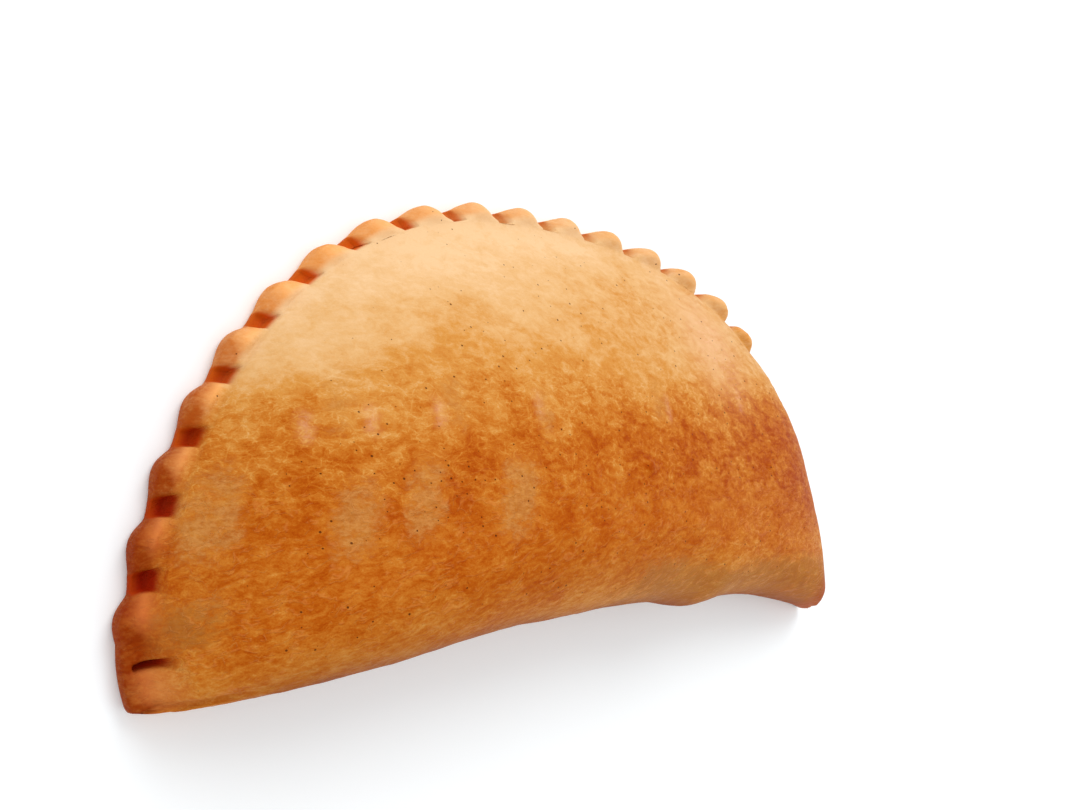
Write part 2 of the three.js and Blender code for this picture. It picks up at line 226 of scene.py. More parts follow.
def place_camera():
    """The photograph's viewpoint: from over the left end, rolled so that the arc is up."""
    data = bpy.data.cameras.new("camera")
    data.sensor_width = SENSOR_WIDTH
    data.lens = SENSOR_WIDTH * FOCAL_PIXELS / PHOTO_PIXELS
    data.clip_start = 0.01
    camera = bpy.data.objects.new("camera", data)
    spot = Vector(CAMERA_SPOT) - Vector((*ORIGIN, 0))
    turn = Euler([math.radians(angle) for angle in CAMERA_TURN], "XYZ")
    camera.matrix_world = Matrix.Translation(spot / 1000) @ turn.to_matrix().to_4x4()
    bpy.context.collection.objects.link(camera)
    bpy.context.scene.camera = camera


# ------------------------------------------------------------------ helpers
def ease(v):
    """A soft step from 0 to 1."""
    v = np.clip(v, 0.0, 1.0)
    return v * v * (3.0 - 2.0 * v)


def rise(value, start, full):
    """A soft step, 0 at start and 1 at full, where full may be the lower of the two."""
    return ease((value - start) / (full - start))


def bell(offset, width):
    """1 at no offset, and falling off to both sides."""
    return np.exp(-(offset / width) ** 2)


def mix(a, b, t):
    return a + (b - a) * t


def lattice(ix, iy, iz, seed):
    """A fixed pseudo-random number in -1..1 for each lattice point."""
    h = (ix * 374761393 + iy * 668265263 + iz * 2147483647 + seed * 1274126177) & 0xFFFFFFFF
    h = ((h ^ (h >> 13)) * 1103515245) & 0xFFFFFFFF
    h = ((h ^ (h >> 16)) * 2246822519) & 0xFFFFFFFF
    return ((h ^ (h >> 15)) & 0xFFFF) / 32767.5 - 1.0


def noise(points, size, seed):
    """Smooth value noise in -1..1 at points (mm), one swell per size."""
    p = points / np.asarray(size, float) + 1000.0
    cell = np.floor(p).astype(np.int64)
    t = ease(p - cell)
    total = 0.0
    for dx in (0, 1):
        for dy in (0, 1):
            for dz in (0, 1):
                w = (t[:, 0] if dx else 1 - t[:, 0]) * (t[:, 1] if dy else 1 - t[:, 1])
                w = w * (t[:, 2] if dz else 1 - t[:, 2])
                total = total + w * lattice(cell[:, 0] + dx, cell[:, 1] + dy, cell[:, 2] + dz, seed)
    return total


def noises(points, layers):
    """The sum of some noises, each given as (amount, size, seed)."""
    return sum(amount * noise(points, size, seed) for amount, size, seed in layers)


# ------------------------------------------------------------------ the turnover's form
def along(x):
    """Where x lies between the fold's middle and its tips, from -1 to 1."""
    return x / np.where(x < 0, LEFT, RIGHT)


def arc_depth(x):
    """How deep the half-moon is for a point that lies at x, before its shoulders."""
    u = np.clip(along(x), -1, 1)
    a, b, c = DEPTH_LEAN
    return DEPTH * (1 + a * u + b * u * u + c * u ** 3)


def rim_width(x):
    """Width of the pressed border."""
    return RIM_WIDTH * (1 + RIM_LEAN * along(x))


def fold_y(x):
    """The fold's line, bowed in and softly waved."""
    u = along(x)
    y = ARCH * (1 - u * u) * (1 + ARCH_LEAN * u)
    for centre, width, height in FOLD_WAVES:
        y = y + height * bell(x - centre, width)
    return y


def dome(x, y):
    """Height of the puffed face before the fold is rounded off."""
    side = np.where(x < 0, LEFT, RIGHT) - rim_width(x) * DOME_SIDE
    across = np.maximum(y, 0) / (arc_depth(x) - rim_width(x))
    spread = np.abs(x / side) ** SHOULDER + across ** SHOULDER
    end = mix(DOME_OUT, DOME_FAR, rise(x, *DOME_FAR_X))
    steep = mix(end, DOME_CROWN, across ** SHOULDER / np.maximum(spread, 1e-9))
    reach = np.minimum(spread ** (1 / SHOULDER), 1)
    up = (1 - reach ** DOME_IN) ** (1 / steep)
    up = (np.hypot(up, DOME_SOFT) - DOME_SOFT) / (math.hypot(1, DOME_SOFT) - DOME_SOFT)
    u = along(x)
    crest = HEIGHT * (1 + HEIGHT_LEAN * u + HEIGHT_BOW * u * u)
    return RIM_INNER + (crest - RIM_INNER) * up


def fold_height(x):
    """Height of the face over the fold's line."""
    return dome(x, fold_y(x))


def face(x, y):
    """Height of the face, rounded over at the fold down to its belly."""
    edge = fold_height(x)
    belly = FOLD_BELLY * edge
    d = np.clip((y - fold_y(x)) / (FOLD_ROUND * edge), 0, 1)
    return belly + (dome(x, y) - belly) * np.sqrt(np.maximum(1 - (1 - d) ** 2, 0))


def trace_outline(rays=6000, farthest=150.0, halvings=40):
    """The closed outline over arc length: left tip, over the arc, back along the fold."""
    angle = math.atan2(-HUB[1], -LEFT) - np.linspace(0, 2 * math.pi, rays + 1)
    ux, uy = np.cos(angle), np.sin(angle)

    def reach(inside):
        lo, hi = np.zeros_like(ux), np.full_like(ux, farthest)
        for _ in range(halvings):
            mid = (lo + hi) / 2
            ok = inside(mid)
            lo, hi = np.where(ok, mid, lo), np.where(ok, hi, mid)
        return lo

    def in_arc(r):
        x, y = r * ux, np.maximum(HUB[1] + r * uy, 0)
        share, depth = TIP_TUCK
        tuck = np.where(x < 0, share, 0) * np.maximum(1 - y / depth, 0) ** 2
        u = along(x) / (1 - tuck)
        return np.abs(u) ** SHOULDER + (y / arc_depth(x)) ** SHOULDER < 1

    def in_fold(r):
        x = np.clip(r * ux, -BEYOND * LEFT, BEYOND * RIGHT)
        return HUB[1] + r * uy > fold_y(x)

    arc, fold = reach(in_arc), reach(in_fold)
    near = np.minimum(arc, fold)
    r = near * ((arc / near) ** -TIP_SHARP + (fold / near) ** -TIP_SHARP) ** (-1 / TIP_SHARP)
    xy = np.c_[r * ux, HUB[1] + r * uy]
    length = np.r_[0, np.cumsum(np.hypot(*np.diff(xy, axis=0).T))]
    right = np.argmax(np.where((ux > 0) & (uy < 0), r, 0))
    return xy, length, length[right], length[-1]


OUT_XY, OUT_S, ARC_LEN, TOTAL = trace_outline()


def outline_at(s):
    """The points of the outline at arc length s."""
    s = np.mod(s, TOTAL)
    return np.c_[np.interp(s, OUT_S, OUT_XY[:, 0]), np.interp(s, OUT_S, OUT_XY[:, 1])]


def dent_at(s):
    """At arc length s: depth of the dent, bulge of the pillow, and whether it is the slit."""
    phase = (s - DENT_FIRST) / DENT_PITCH
    k = np.floor(phase + DENT_LEAD)
    on = (k >= 0) & (k <= DENTS - 1) & (s <= ARC_LEN)
    t = phase - k
    flat = np.where(k < 1, SLIT_FLAT, DENT_FLAT)
    slope = np.where(k < 1, SLIT_SLOPE, DENT_SLOPE)
    wall = ease((t + DENT_LEAD) / DENT_WALL)
    dent = np.where(t > 0.5, 0, wall * (1 - ease((t - flat) / slope)))
    bulge = np.maximum(np.sin(math.pi * np.mod(t, 1) ** BULGE_SKEW), 0) ** BULGE_ROUND
    bulge = np.where((k < 1) & (t < 0.5), np.maximum(bulge, BULGE_TIP), bulge)
    bulge = np.where(on, bulge, np.where(phase < 0, BULGE_TIP, BULGE_END))
    return np.where(on, dent, 0.0), bulge, (k < 1) * 1.0


# ------------------------------------------------------------------ rings of the mesh
# Marks of a point: how far across the mesh (0 at the hub, 1 where the border begins, 2 at its
# lip), whether it is on the border, in a dent or under the part, and how toasted and shaded the
# border is.
MARKS = ("across", "rim", "dent", "under", "toast")
SHADER_MARKS = ("across", "rim", "dent", "toast", "tone", "clear", "strokes_sheen", "belly")


def ring(xy, z, **marks):
    """One closed ring of points, with a value of each mark at every point."""
    full = np.ones(len(xy))
    return np.c_[xy, z * full], np.c_[tuple(marks.get(name, 0.0) * full for name in MARKS)]


def walk_outline():
    """All that varies along the outline: over the arc and back along the fold."""
    w = SimpleNamespace()
    w.s = np.r_[np.linspace(0, ARC_LEN, ARC_POINTS, endpoint=False),
                np.linspace(ARC_LEN, TOTAL, FOLD_POINTS, endpoint=False)]
    p = outline_at(w.s)
    x = p[:, 0]
    tangent = outline_at(w.s + TANGENT_STEP) - outline_at(w.s - TANGENT_STEP)
    tangent /= np.linalg.norm(tangent, axis=1)[:, None]
    w.normal = np.c_[-tangent[:, 1], tangent[:, 0]]
    inward = HUB - p
    inward = inward / np.linalg.norm(inward, axis=1)[:, None]
    slant = np.maximum(-(inward * w.normal).sum(1), LEAST_SLANT)

    w.on_fold = w.s > ARC_LEN
    w.past = np.minimum(np.maximum(w.s - ARC_LEN, 0), TOTAL - w.s)   # length past either tip
    w.rim = 1 - ease(w.past / TIP_BLEND)
    w.dent, bulge, w.slit = dent_at(w.s)
    w.phase = np.mod((w.s - DENT_FIRST) / DENT_PITCH, 1)
    w.fuller = PILLOW_FAR * (rise(x, *PILLOW_FAR_X) - PILLOW_LAST * rise(x, *PILLOW_LAST_X))
    w.crown = bulge ** (1 - FULLER_BULGE * w.fuller)
    w.edge = fold_height(x)
    w.toast_edge = mix(*SHADE_TOAST_EDGE, rise(x, *SHADE_TOAST_EDGE_X))

    extra, length = TIP_WIDE
    border = rim_width(x) + extra * ease(1 - np.minimum(w.s, TOTAL - w.s) / length)
    width = mix(FOLD_SPAN * FOLD_ROUND * w.edge, border, w.rim) / slant
    scallop = (SCALLOP_OUT * (1 + w.fuller) * w.crown - SCALLOP_IN) * w.rim
    w.outer = p + w.normal * scallop[:, None]
    w.inner = p + inward * width[:, None]
    return w


def face_rings(w):
    """The face, from a flat oval round the hub out to the border."""
    d = w.inner - HUB
    angle = np.arctan2(d[:, 1] / HUB_RADII[1], d[:, 0] / HUB_RADII[0])
    oval = np.c_[np.cos(angle) * HUB_OVAL[0], np.sin(angle) * HUB_OVAL[1]]
    for k in range(1, FACE_RINGS + 1):
        v = math.sin(k / FACE_RINGS * math.pi / 2)
        q = mix(oval, d, v * v) * v + HUB
        yield ring(q, face(q[:, 0], q[:, 1]), across=v)


def border_rings(w):
    """The border's pillows and dents, which pass into the rounded edge along the fold."""
    top = PILLOW * (1 + FULLER_TOP * w.fuller) * mix(PILLOW_LOW, 1, w.crown)
    fall = PILLOW_FALL * (1 - FULLER_FALL * w.fuller)
    # toast with painted shade: darkest low in each pitch, where the pillow turns from the light
    low = SHADE_TOAST_FULL * (1 - rise(w.phase, *SHADE_TOAST_LOW))
    slit_end, slit_run = SLIT_END
    for k in range(1, RIM_RINGS + 1):
        f = RIM_SPAN * k / RIM_RINGS
        bent = mix(math.sin(f * math.pi / 2), f, w.rim)
        q = w.inner + (w.outer - w.inner) * bent[:, None]
        skin = face(q[:, 0], q[:, 1])
        pillow = mix(skin, top, ease(f * PILLOW_RISE)) - fall * top * f ** 3
        cut = w.dent * ease(f / DENT_EDGE) * (1 - w.slit * ease((f - slit_end) / slit_run))
        pressed = mix(pillow, np.minimum(mix(*DENT_FLOOR, f), pillow), cut)
        toast = np.clip(low + w.toast_edge * rise(f, *SHADE_TOAST_OUT), 0, 1)
        yield ring(q, mix(skin, pressed, w.rim), across=1.0 + f, rim=w.rim * ease(f * RIM_LOOK),
                   dent=cut * w.rim, toast=w.rim * rise(f, *SHADE_TOAST_IN) * toast)


def wall_rings(w, lip):
    """The border's outer wall and the fold's turned-under side, down to the ground."""
    for fall, draw, sink, tuck in WALL_RINGS:
        inset = mix(tuck * FOLD_UNDER * w.edge, draw, w.rim)
        z = mix(sink * FOLD_BELLY * w.edge, fall * lip, w.rim)
        yield ring(w.outer - w.normal * inset[:, None], z, across=2.0, rim=w.rim,
                   dent=w.dent * w.rim * fall * (1 - w.slit), under=1.0 - fall, toast=w.rim)


def base_rings(foot):
    """The flat underside, from the foot of the wall in to the hub."""
    for k in range(1, BASE_RINGS + 1):
        yield ring(mix(foot, HUB, k / (BASE_RINGS + 1)), 0.0, across=1.0, under=1.0)


def soften_tips(grid, w):
    """Round the corner between the border's end and the fold, at each tip."""
    k = np.arange(1, len(grid) + 1) - FACE_RINGS
    across = (k > -SOFT_RINGS) * (1 - rise(k / RIM_RINGS, *SOFT_ACROSS))
    weight = across[:, None] * (rise(w.past, *SOFT_ALONG) * w.on_fold)[None, :]
    for _ in range(SOFT_PASSES):
        around = (np.roll(grid, 1, axis=1) + np.roll(grid, -1, axis=1)) / 2
        grid = grid + 0.5 * weight[:, :, None] * (around - grid)
    return grid


def build_surface():
    """Points and marks of the closed surface: rings, then a top and a base pole."""
    w = walk_outline()
    rings = [*face_rings(w), *border_rings(w)]
    rings += wall_rings(w, lip=rings[-1][0][:, 2])
    rings += base_rings(foot=rings[-1][0][:, :2])
    grid = soften_tips(np.array([points for points, _ in rings]), w)
    top_pole, top_marks = ring(HUB[None], face(HUB[:1], HUB[1:]))
    base_pole, base_marks = ring(HUB[None], 0.0, across=1.0, under=1.0)
    points = np.concatenate([grid.reshape(-1, 3), top_pole, base_pole])
    columns = np.concatenate([marks for _, marks in rings] + [top_marks, base_marks])
    return points, dict(zip(MARKS, columns.T)), grid.shape[:2]


def grid_faces(rings, n):
    """Quads between the rings of n points, and triangles to the two poles."""
    i = np.arange(n)
    j = (i + 1) % n
    quads = [np.c_[r * n + i, r * n + j, (r + 1) * n + j, (r + 1) * n + i]
             for r in range(rings - 1)]
    top, base, last = rings * n, rings * n + 1, (rings - 1) * n
    tris = np.concatenate([np.c_[np.full(n, top), j, i],
                           np.c_[last + i, last + j, np.full(n, base)]])
    return np.concatenate(quads), tris


def vertex_normals(points, quads, tris):
    """Outward normals, as the mean of the faces round each point."""
    out = np.zeros_like(points)
    for faces in (quads, tris):
        a, b, c = points[faces[:, 0]], points[faces[:, 1]], points[faces[:, -1]]
        n = np.cross(b - a, c - a)
        for k in range(faces.shape[1]):
            np.add.at(out, faces[:, k], n)
    return out / np.maximum(np.linalg.norm(out, axis=1), 1e-12)[:, None]


def make_mesh(name, points, quads, tris):
    """A smooth mesh from arrays of points and faces."""
    mesh = bpy.data.meshes.new(name)
    mesh.vertices.add(len(points))
    mesh.vertices.foreach_set("co", points.ravel())
    loops = np.concatenate([quads.ravel(), tris.ravel()])
    starts = np.concatenate([np.arange(len(quads)) * 4, len(quads) * 4 + np.arange(len(tris)) * 3])
    mesh.loops.add(len(loops))
    mesh.loops.foreach_set("vertex_index", loops.astype(np.int32))
    mesh.polygons.add(len(starts))
    mesh.polygons.foreach_set("loop_start", starts.astype(np.int32))
    mesh.update(calc_edges=True)
    mesh.validate()
    mesh.shade_smooth()
    return mesh


# ------------------------------------------------------------------ relief and bake
def crust_relief(place, marks):
    """Low relief outwards: slow swells, fine wrinkles, a crease by the border, blisters."""
    rim, x, y, z = marks["rim"], *place.T
    bent = place + BEND * np.c_[tuple(noise(place, BEND_SIZE, seed) for seed in BEND_SEEDS)]
    ridges = 1 - np.abs(noise(bent, WRINKLE_SIZE, WRINKLE_SEED))
    gaps = np.clip(WRINKLE_MORE + noise(place, WRINKLE_GAPS, WRINKLE_GAPS_SEED), 0, 1)
    wrinkles = np.maximum(ridges - WRINKLE_SHARP, 0) / (1 - WRINKLE_SHARP) * gaps
    relief = noises(place, LUMPS) * (1 - (1 - LUMPS_ON_RIM) * rim)
    relief = (relief + noises(place, FINE_LUMPS) + WRINKLE * wrinkles) * (1 - marks["under"])
    crease = rise(rim, *CREASE_IN) * rise(rim, *CREASE_OUT) * (1 - marks["dent"])
    relief -= CREASE * crease * rise(x, *CREASE_X)
    for at_x, at_y, radius, height in BLISTERS:
        off = ((x - at_x) ** 2 + (y - at_y) ** 2) / radius ** 2
        relief += height * np.exp(-off ** 1.5) * (z > BLISTERS_ABOVE)
    return relief


def bake_tone(place, marks, slow, streak):
    """How dark the bake is, from 0 for straw to 1 for brown."""
    x, y, _ = place.T
    levels, tones = zip(*BAKE)
    tone = np.interp(y + BAKE_SWAY * slow - BAKE_SLANT * x, levels, tones)
    by_rim = rise(marks["across"], *RIM_PALE_ACROSS)
    # paler by the border: less browned, partly painted highlight
    tone -= RIM_PALE * by_rim * rise(y, *RIM_PALE_Y) * rise(x, *RIM_PALE_X)
    for amount, start, full, middle, half in PALE_SWATHES:
        tone -= amount * rise(x, start, full) * bell(y - middle, half)
    streaky = bell(y - STREAK_Y, STREAK_HALF) * mix(*STREAK_LEAN, rise(x, *STREAK_X))
    tone -= STREAK_TONE * streaky * streak
    tone += RIGHT_DARK * rise(x, *RIGHT_DARK_X) * rise(y, *RIGHT_DARK_Y)
    # painted light at the right tip, where the edge turns away from the light
    tone -= TIP_PALE * rise(x, *TIP_PALE_X)
    amount, at_x, wide, at_y, half = DARK_SPOT
    tone += amount * bell(x - at_x, wide) * bell(y - at_y, half)
    return tone + noises(place, BAKE_NOISE)


def missing_film(place, slow, streak):
    """How far the browned film is missing, from 0 to 1."""
    x, y, _ = place.T
    level = y - LOW_CLEAR_SWAY * slow + LOW_CLEAR_SLANT * x
    clear = LOW_CLEAR * rise(level, *LOW_CLEAR_Y) * rise(x, *LOW_CLEAR_X)
    for at_x, at_y, wide, tall, strength in CLEAR:
        lean = x - at_x - CLEAR_SLANT * (y - at_y) + CLEAR_RAGGED * streak
        core = np.exp(-np.abs(lean / wide) ** 3 - np.abs((y - at_y) / tall) ** 3)
        clear = np.maximum(clear, strength * core)
    return clear


def strokes_and_sheen(place):
    """Painted sheen on the right shoulder, a pale highlight, and the short pale strokes."""
    x, y, _ = place.T
    strokes_sheen = SHOULDER_SHEEN * bell(x - SHOULDER_SHEEN_X, SHOULDER_SHEEN_SIZE) * bell(y - SHOULDER_SHEEN_Y, SHOULDER_SHEEN_SIZE)
    for at_x, at_y in STROKES:
        lean = x - at_x - STROKE_SLANT * (y - at_y)
        strokes_sheen += STROKE * bell(lean, STROKE_WIDE) * np.exp(-((y - at_y) / STROKE_TALL) ** 4)
    return strokes_sheen


def belly_toast_and_shade(place, marks):
    """The fold is toasted along its belly and darkened with painted shade, over the side that turns
    under.
    """
    plan_x = place[:, 0] + ORIGIN[0]
    level = mix(*BELLY, rise(plan_x, *BELLY_X))
    high = place[:, 2] / fold_height(plan_x)
    belly = rise(high, level + BELLY_FADE[0], level + BELLY_FADE[1]) * (1 - marks["rim"])
    return belly * rise(place[:, 1], *BELLY_FROM_Y) * rise(plan_x, *BELLY_FROM_X)


def add_crust():
    """The dressed turnover: the finer mesh with its relief, and marks for the material."""
    place, marks, (rings, n) = build_surface()
    place = place - np.array([*ORIGIN, 0.0])      # into the part's own frame
    quads, tris = grid_faces(rings, n)
    relief = crust_relief(place, marks)
    points = place + vertex_normals(place, quads, tris) * relief[:, None]
    points[:, 2] = np.maximum(points[:, 2], 0.0)

    slow = noise(place, SLOW_SIZE, SLOW_SEED)
    streak = noises(place * (1, STREAK_TALL, 0), STREAKS)
    marks["tone"] = bake_tone(place, marks, slow, streak)
    marks["clear"] = missing_film(place, slow, streak)
    # the pale strokes, and the painted sheen on the right shoulder
    marks["strokes_sheen"] = strokes_and_sheen(place)
    # toast and painted shade along the fold's belly
    marks["belly"] = belly_toast_and_shade(place, marks)

    mesh = make_mesh("crust", points / 1000.0, quads, tris)
    for name in SHADER_MARKS:
        layer = mesh.attributes.new(name, "FLOAT", "POINT")
        layer.data.foreach_set("value", marks[name].astype(np.float32))
    mesh.materials.append(crust_material())
    crust = bpy.data.objects.new("crust", mesh)
    bpy.context.collection.objects.link(crust)
    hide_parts("turnover")
    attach(crust, "root")


# ------------------------------------------------------------------ material
def linear(hex_colour):
    """A colour written as sRGB in hexadecimal, as the linear RGBA that shaders take."""
    out = []
    for k in (0, 2, 4):
        c = int(hex_colour[k:k + 2], 16) / 255.0
        out.append(c / 12.92 if c <= 0.04045 else ((c + 0.055) / 1.055) ** 2.4)
    return (*out, 1.0)


class Graph:
    """Short hand for building a node tree. A value may be a number or another node's output."""

    def __init__(self, material):
        material.use_nodes = True
        self.tree = material.node_tree
        self.shader = self.tree.nodes["Principled BSDF"]

    def feed(self, node, inputs):
        for key, value in inputs.items():
            if isinstance(value, bpy.types.NodeSocket):
                self.tree.links.new(value, node.inputs[key])
            else:
                node.inputs[key].default_value = value

    def add(self, kind, inputs, **settings):
        node = self.tree.nodes.new(kind)
        for key, value in settings.items():
            setattr(node, key, value)
        self.feed(node, inputs)
        return node

    def math(self, operation, a, b=0.0):
        return self.add("ShaderNodeMath", {0: a, 1: b}, operation=operation).outputs[0]

    def chain(self, operation, values, clamp):
        total = values[0]
        for value in values[1:]:
            total = self.math(operation, total, value)
        total.node.use_clamp = clamp
        return total

    def plus(self, *values, clamp=False):
        return self.chain("ADD", values, clamp)

    def minus(self, a, b):
        return self.math("SUBTRACT", a, b)

    def times(self, *values, clamp=False):
        return self.chain("MULTIPLY", values, clamp)

    def swell(self, value, amount):
        """A noise of 0..1 as a change up and down."""
        return self.times(self.minus(value, 0.5), amount)

    def span(self, value, lo, hi, out_lo=0.0, out_hi=1.0, smooth=True):
        node = self.add("ShaderNodeMapRange", {"Value": value, "From Min": lo, "From Max": hi,
                                               "To Min": out_lo, "To Max": out_hi})
        node.interpolation_type = "SMOOTHSTEP" if smooth else "LINEAR"
        return node.outputs[0]

    def vector(self, operation, a, b):
        return self.add("ShaderNodeVectorMath", {0: a, 1: b}, operation=operation).outputs[0]

    def mapped(self, vector, **settings):
        inputs = {name.capitalize(): value for name, value in settings.items()}
        return self.add("ShaderNodeMapping", {"Vector": vector, **inputs}).outputs[0]

    def axes(self, vector):
        return self.add("ShaderNodeSeparateXYZ", {0: vector}).outputs

    def blend(self, a, b, amount):
        """From colour a to colour b. A colour may also be written in hexadecimal."""
        a, b = (linear(colour) if isinstance(colour, str) else colour for colour in (a, b))
        node = self.add("ShaderNodeMix", {}, data_type="RGBA")
        self.feed(node, {0: amount, 6: a, 7: b})
        return node.outputs[2]

    def ramp(self, value, stops):
        node = self.add("ShaderNodeValToRGB", {"Fac": value})
        bar = node.color_ramp.elements
        while len(bar) < len(stops):
            bar.new(0.5)
        for element, (at, colour) in zip(bar, stops):
            element.position = at
            element.color = linear(colour)
        return node.outputs[0]

    def mark(self, name):
        return self.add("ShaderNodeAttribute", {}, attribute_name=name).outputs["Fac"]

    def noise(self, vector, scale, detail=4.0, rough=0.6, stretch=(1, 1, 1)):
        place = self.mapped(vector, scale=stretch)
        node = self.add("ShaderNodeTexNoise", {"Vector": place, "Scale": scale,
                                               "Detail": detail, "Roughness": rough})
        return node.outputs["Fac"]


def crust_places(g):
    """Places on the crust in mm, and the noises that several of its looks share."""
    c = SimpleNamespace()
    spot = g.add("ShaderNodeTexCoord", {}).outputs["Object"]
    true = g.axes(g.mapped(spot, scale=(1000, 1000, 1000)))
    c.x, c.y = true["X"], true["Y"]
    c.up = g.axes(g.add("ShaderNodeNewGeometry", {}).outputs["Normal"])["Z"]

    # the pattern is drawn out to the right and down the sides, where the dough was stretched
    beyond = g.math("MAXIMUM", c.x, 0.0)
    drawn = g.minus(c.x, g.times(beyond, beyond, DRAWN_RIGHT))
    c.mm = g.add("ShaderNodeCombineXYZ", {0: drawn, 1: c.y,
                                          2: g.times(true["Z"], DRAWN_DOWN)}).outputs[0]
    wobble = g.add("ShaderNodeTexNoise", {"Vector": c.mm, "Scale": WOBBLE_SCALE, "Detail": 2.0})
    swing = g.vector("MULTIPLY", wobble.outputs["Color"], (WOBBLE, WOBBLE, WOBBLE))
    c.bent = g.vector("ADD", c.mm, swing)
    c.slanted = g.mapped(c.bent, rotation=(0, 0, SLANT))

    c.patch = g.noise(c.bent, **PATCH)
    c.fine = g.noise(c.mm, **FINE)
    c.grain = g.noise(c.mm, **GRAIN)
    c.burnt = g.span(c.x, *BURNT_SHADE_X, 1.0, 0.0)
    c.tip = g.span(c.x, *TIP_X, 1.0, 0.0)
    c.mottle = g.plus(g.swell(c.patch, 0.5), g.swell(c.fine, 0.5))
    return c


def crack_net(g, c):
    """Craquelure: a net of fine pale cracks in the film, broken here and there."""
    lines = []
    for scale, wide, gate, shift in CRACKS:
        cell = g.mapped(c.bent, scale=(0.7, 1.25, 1.0), location=(shift, 0, 0))
        edge = g.add("ShaderNodeTexVoronoi", {"Vector": cell, "Scale": scale},
                     feature="DISTANCE_TO_EDGE").outputs["Distance"]
        broken = g.span(g.noise(c.mm, scale * 1.6, 3.0), gate - 0.02, gate + 0.10)
        lines.append(g.times(g.span(edge, 0.0, wide, 1.0, 0.0), broken))
    low, high = (g.span(c.y, *y) for y in NET_Y)
    return g.times(g.math("MAXIMUM", *lines), g.span(g.times(low, high), 0.0, 1.0, 0.3, 1.0))


def hairlines(g, c):
    """Wrinkles: pale hairlines that slant along the fold; their pale colour is painted highlight on
    the ridges.
    """
    lines = []
    for scale, wide, gate in HAIRS:
        level = g.noise(c.slanted, scale, 2.0, 0.5, (0.32, 1.7, 1.2))
        away = g.math("ABSOLUTE", g.minus(level, 0.5))
        broken = g.span(g.noise(c.mm, scale * 1.3, 2.0), gate, gate + 0.08)
        lines.append(g.times(g.span(away, 0.0, wide, 1.0, 0.0), broken))
    low, high = HAIR_Y
    hair = g.times(g.math("MAXIMUM", *lines), g.span(c.y, *low, 0.12, 1.0))
    return g.times(hair, g.span(c.y, *high))


def film_colour(g, c):
    """The browned film: mottled, coarse to fine, and drawn into fibres lower down."""
    tone = g.mark("tone")
    film = g.span(c.patch, 0.42, 0.60)
    low = g.span(c.y, *LOW_Y)
    change = g.plus(g.swell(film, FILM_SWELL), g.swell(g.noise(c.bent, **CLOT), CLOT_SWELL))
    change = g.times(change, g.span(low, 0.0, 1.0, 1.0, 0.5))
    change = g.plus(change, g.swell(c.fine, FINE_SWELL), g.swell(c.grain, GRAIN_SWELL))
    change = g.times(change, g.span(c.x, *BOLD_X, 1.05, 1.3))
    fibre = g.swell(g.noise(c.slanted, **FIBRE), FIBRE_SWELL)
    change = g.plus(change, g.times(low, fibre))
    change = g.minus(change, g.times(crack_net(g, c), CRACK_PALE))
    depth = g.span(tone, 0.2, 0.75, 0.4, 1.0)    # weaker where the crust is pale
    return g.ramp(g.plus(tone, g.times(depth, change)), CRUST)


def pale_strokes_and_sheen(g, c, colour):
    """The pale strokes and the painted sheen over the film."""
    broken = g.span(g.plus(c.fine, g.swell(c.grain, 0.8)), *MOST, 0.15, 0.75)
    return g.blend(colour, FLOUR_AND_SHEEN, g.times(g.mark("strokes_sheen"), broken))


def bared(g, c, colour):
    """Ragged tan patches where the film is missing, darker low on the fold."""
    clear = g.mark("clear")
    ragged = g.plus(g.swell(c.fine, 1.4), g.swell(c.patch, 2.2))
    bare = g.plus(clear, g.times(ragged, g.span(clear, 0.02, 0.3)))
    bare = g.times(g.span(bare, 0.1, 0.95), g.span(c.grain, *MOST, 0.7, 1.0))
    tan = g.blend(TAN_DARK, TAN_LIGHT, g.span(c.fine, *MOST))
    tan = g.blend(tan, TAN_LOW, g.span(c.y, *TAN_LOW_Y, 0.0, 0.7))
    return g.blend(colour, tan, g.times(bare, TAN_SHARE))


def scorched_and_shaded(g, c, colour):
    """The toasted belly of the fold with painted shade, and the browned foot at the right tip."""
    belly = g.times(g.mark("belly"), g.span(c.patch, 0.3, 0.65, 0.65, 0.9))
    colour = g.blend(colour, BELLY_TOAST_AND_SHADE, belly)
    foot = g.times(g.span(c.x, *FOOT_X), g.span(c.y, *FOOT_Y), FOOT_SHARE)
    return g.blend(colour, TOASTED_FOOT, foot)


def pillowed(g, c, colour):
    """The border's pillows: pale tops as painted highlight, toasted edges with painted shade on the
    side away from the light, and all darker towards the left tip.
    """
    # pale is the painted highlight on the tops, brown the toast with painted shade
    pale = g.blend(PILLOW_LIT_TOP, PILLOW_LIT_TOP_TIP, c.tip)
    brown = g.blend(g.blend(PILLOW_SHADED_BROWN, PILLOW_SHADED_BURNT, c.burnt), PILLOW_SHADED_TIP, c.tip)
    toast = g.plus(g.mark("toast"), g.times(c.mottle, 0.8), clamp=True)
    cover = g.plus(g.span(c.x, *RIM_SHADE_TOAST_X, 0.85, 0.35), c.mottle)
    outer = g.span(g.mark("across"), 1.05, 1.6)
    cover = g.times(cover, g.math("MAXIMUM", c.burnt, outer))
    cover = g.times(g.mark("rim"), cover, clamp=True)
    return g.blend(colour, g.blend(pale, brown, toast), cover)


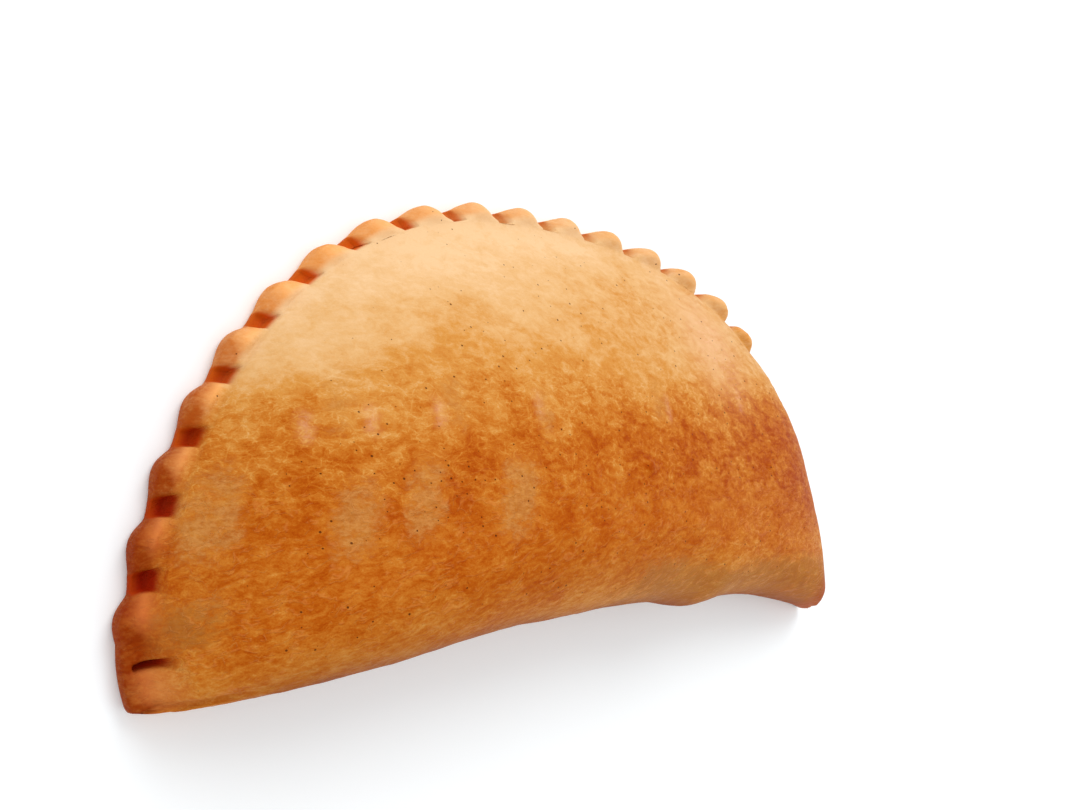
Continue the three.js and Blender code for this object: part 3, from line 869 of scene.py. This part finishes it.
def shaded_dents(g, c, colour):
    """The dents' floors, browning with painted shade in the hollows: pale to the right, orange in
    the middle, darkest to the left.
    """
    floor = g.blend(DENT_SHADE_PALE, DENT_SHADE_WARM, g.span(c.x, *WARM_X, 1.0, 0.0))
    floor = g.blend(floor, DENT_SHADE_BURNT, c.burnt)
    outer = g.span(g.mark("across"), 1.35, 1.95)
    floor = g.blend(floor, DENT_SHADE_OUTER, g.times(outer, g.span(c.tip, 0.0, 1.0, 0.8, 0.35)))
    return g.blend(colour, floor, g.span(g.mark("dent"), 0.1, 0.7, 0.0, 0.95))


def specks(g, c):
    """Dark specks and small pits in loose clusters, but not on the steep sides."""
    dots = g.add("ShaderNodeTexVoronoi", {"Vector": c.mm, "Scale": SPECK_SCALE,
                                          "Randomness": 1.0}, voronoi_dimensions="2D")
    chance = g.add("ShaderNodeSeparateColor", {0: dots.outputs["Color"]}).outputs
    off_row = g.math("ABSOLUTE", g.minus(c.y, SPECK_ROW_Y))
    row = g.span(off_row, 0.8, 3.2, 0.16, 0.0)
    crowd = g.plus(g.swell(g.noise(c.mm, **CROWD), 0.5), row)
    chosen = g.math("GREATER_THAN", g.plus(chance[0], crowd), SPECK_RARITY)
    reach = g.times(chosen, g.span(chance[1], 0.0, 1.0, *SPECK_SIZES, smooth=False))
    reach = g.times(reach, g.span(c.up, 0.5, 0.8))
    return g.span(g.minus(reach, dots.outputs["Distance"]), 0.0, 0.05)


def crust_material():
    material = bpy.data.materials.new("baked crust")
    g = Graph(material)
    c = crust_places(g)
    hair, speck = hairlines(g, c), specks(g, c)
    colour = film_colour(g, c)
    colour = pale_strokes_and_sheen(g, c, colour)
    colour = bared(g, c, colour)
    # pale hairlines: painted highlight on the wrinkles' ridges, beside their bump
    colour = g.blend(colour, HAIRLINE_HIGHLIGHT, g.times(hair, HAIRLINE_HIGHLIGHT_SHARE))
    colour = scorched_and_shaded(g, c, colour)
    colour = pillowed(g, c, colour)
    colour = shaded_dents(g, c, colour)
    colour = g.blend(colour, SPECK, g.times(speck, SPECK_SHARE))

    height = g.plus(g.times(hair, HAIR_HEIGHT), g.times(c.fine, FINE_HEIGHT))
    height = g.minus(height, g.times(speck, SPECK_DEPTH))
    bump = g.add("ShaderNodeBump", {"Height": height, "Strength": BUMP, "Distance": BUMP_SIZE})
    g.feed(g.shader, {"Base Color": colour, "Roughness": g.span(c.fine, *MOST, *ROUGHNESS),
                      "Specular IOR Level": SHINE, "Normal": bump.outputs[0]})
    return material


# ------------------------------------------------------------------ floor and light
def add_floor():
    mesh = bpy.data.meshes.new("floor")
    r = FLOOR_HALF
    mesh.from_pydata([(-r, -r, 0), (r, -r, 0), (r, r, 0), (-r, r, 0)], [], [(0, 1, 2, 3)])
    floor = bpy.data.objects.new("floor", mesh)
    floor.location.z = -FLOOR_DROP
    material = bpy.data.materials.new("pale floor")
    g = Graph(material)
    g.feed(g.shader, {"Base Color": FLOOR_COLOUR, "Roughness": 0.9, "Specular IOR Level": 0.1,
                      "Emission Color": (1, 1, 1, 1), "Emission Strength": FLOOR_GLOW})
    mesh.materials.append(material)
    bpy.context.collection.objects.link(floor)


def add_key_light():
    data = bpy.data.lights.new("key", "AREA")
    data.shape = "DISK"
    data.size = KEY_SIZE
    data.energy = KEY_WATTS
    lamp = bpy.data.objects.new("key", data)
    lamp.location = KEY_SPOT
    aim = Vector(KEY_AIM) - Vector(KEY_SPOT)
    lamp.rotation_euler = aim.to_track_quat("-Z", "Y").to_euler()
    bpy.context.collection.objects.link(lamp)


def add_sky():
    world = bpy.data.worlds.new("studio")
    world.use_nodes = True
    background = world.node_tree.nodes["Background"]
    background.inputs["Color"].default_value = (1, 1, 1, 1)
    background.inputs["Strength"].default_value = SKY
    bpy.context.scene.world = world


place_camera()
add_crust()
add_floor()
add_key_light()
add_sky()
bpy.context.scene.view_settings.view_transform = "Standard"
